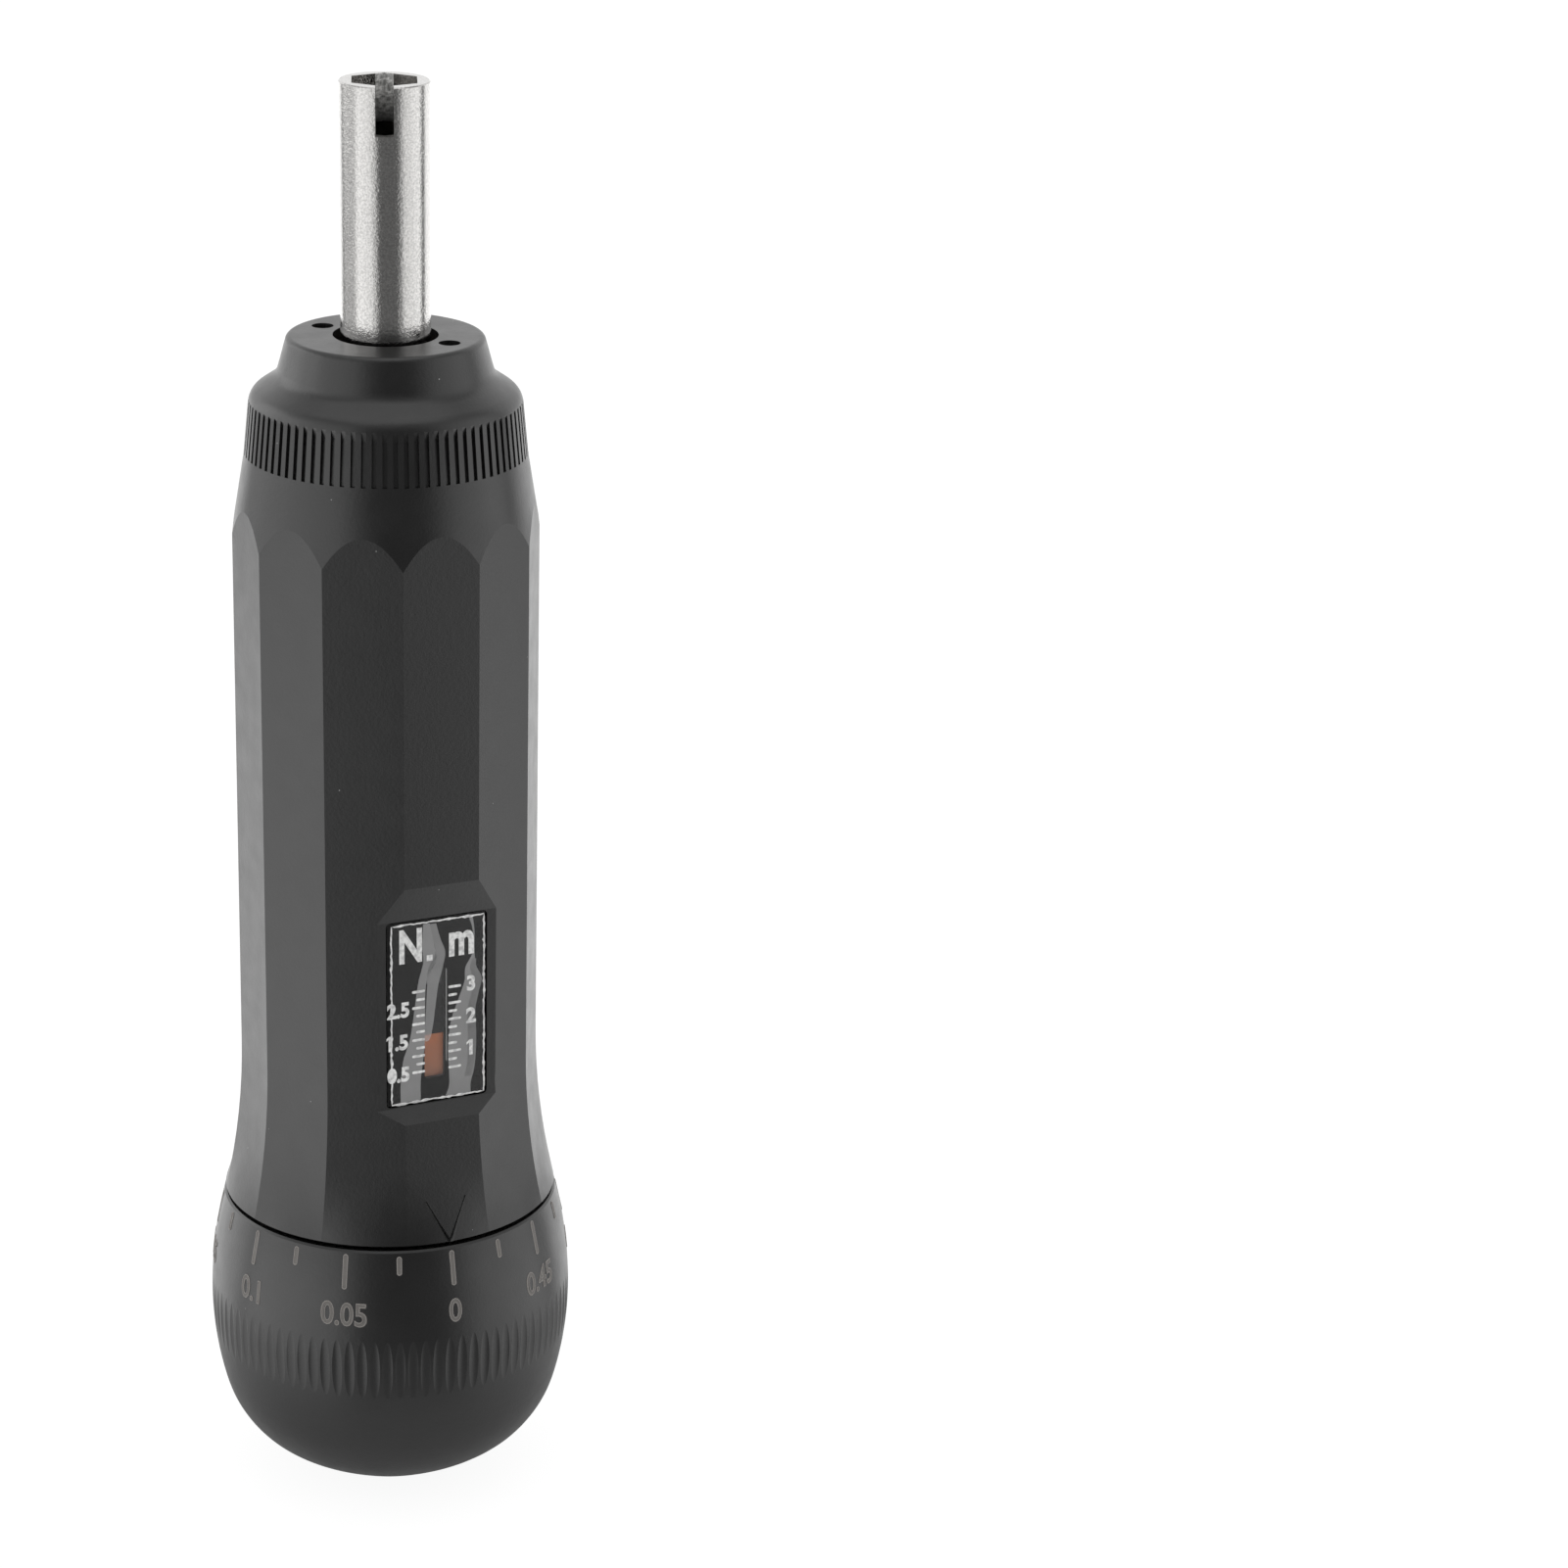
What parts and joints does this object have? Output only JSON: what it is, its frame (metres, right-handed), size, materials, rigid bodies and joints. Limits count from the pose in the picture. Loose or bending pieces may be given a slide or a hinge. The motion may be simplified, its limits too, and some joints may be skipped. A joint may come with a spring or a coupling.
{
  "type": "torque screwdriver",
  "caption": "Torque screwdriver: faceted black handle with a torque window, a round setting knob with a divided scale, and a bright shank with a hex bit socket.",
  "frame": {"origin": "middle of the flat end of the knob, where the tool stands", "axes": "+Z along the tool's axis from the knob to the bit holder; the torque window and the pointer look along -Y"},
  "size_m": [0.038, 0.038, 0.15],
  "materials": {
    "black_anodised": "matte black, bead-blasted and anodised",
    "lens": "clear plastic",
    "scale_black": "black, printed in white",
    "indicator_red": "red-orange",
    "plated_steel": "bright nickel plate over a grained surface",
    "magnet": "nickel plate",
    "bronze": "sintered, oiled",
    "hardened_steel": "ground",
    "spring_steel": "oil tempered",
    "ball_steel": "polished",
    "blackened_steel": "black phosphate, oiled",
    "screw_steel": "black oxide"
  },
  "bodies": {
    "handle": {"handle": "black_anodised", "nose_cap": "black_anodised", "nose_bush": "bronze", "front_thrust_washer": "bronze", "clutch_balls": "ball_steel", "pressure_plate": "hardened_steel", "spring_washer": "hardened_steel", "main_spring": "blackened_steel", "rear_plate": "hardened_steel", "rear_thrust_washer": "bronze", "retaining_ring": "spring_steel", "knob_spacer": "bronze", "scale_plate": "scale_black", "window_lens": "lens"},
    "output": {"bit_holder": "plated_steel", "bit_magnet": "magnet", "clutch_cam": "hardened_steel", "cam_circlip": "spring_steel"},
    "knob": {"knob": "black_anodised", "adjusting_screw": "hardened_steel", "knob_screw": "screw_steel", "detent_ball": "ball_steel", "detent_spring": "spring_steel"},
    "nut": {"adjusting_nut": "blackened_steel", "indicator": "indicator_red"}
  },
  "joints": [
    {"name": "knob_turn", "type": "hinge", "parent": "handle", "child": "knob", "pos_m": [0, 0, 0.0322], "axis": [0, 0, 1], "range_deg": [-720, 1080]},
    {"name": "nut_slide", "type": "slide", "parent": "handle", "child": "nut", "axis": [0, 0, 1], "range_m": [-0.00356, 0.00534], "deforming": ["main_spring"]},
    {"name": "output_slip", "type": "hinge", "parent": "handle", "child": "output", "pos_m": [0, 0, 0.12455], "axis": [0, 0, 1], "continuous": true}
  ],
  "couplings": [
    {"joint": "nut_slide", "follows": "knob_turn", "m_per_rad": 0.0002825}
  ]
}
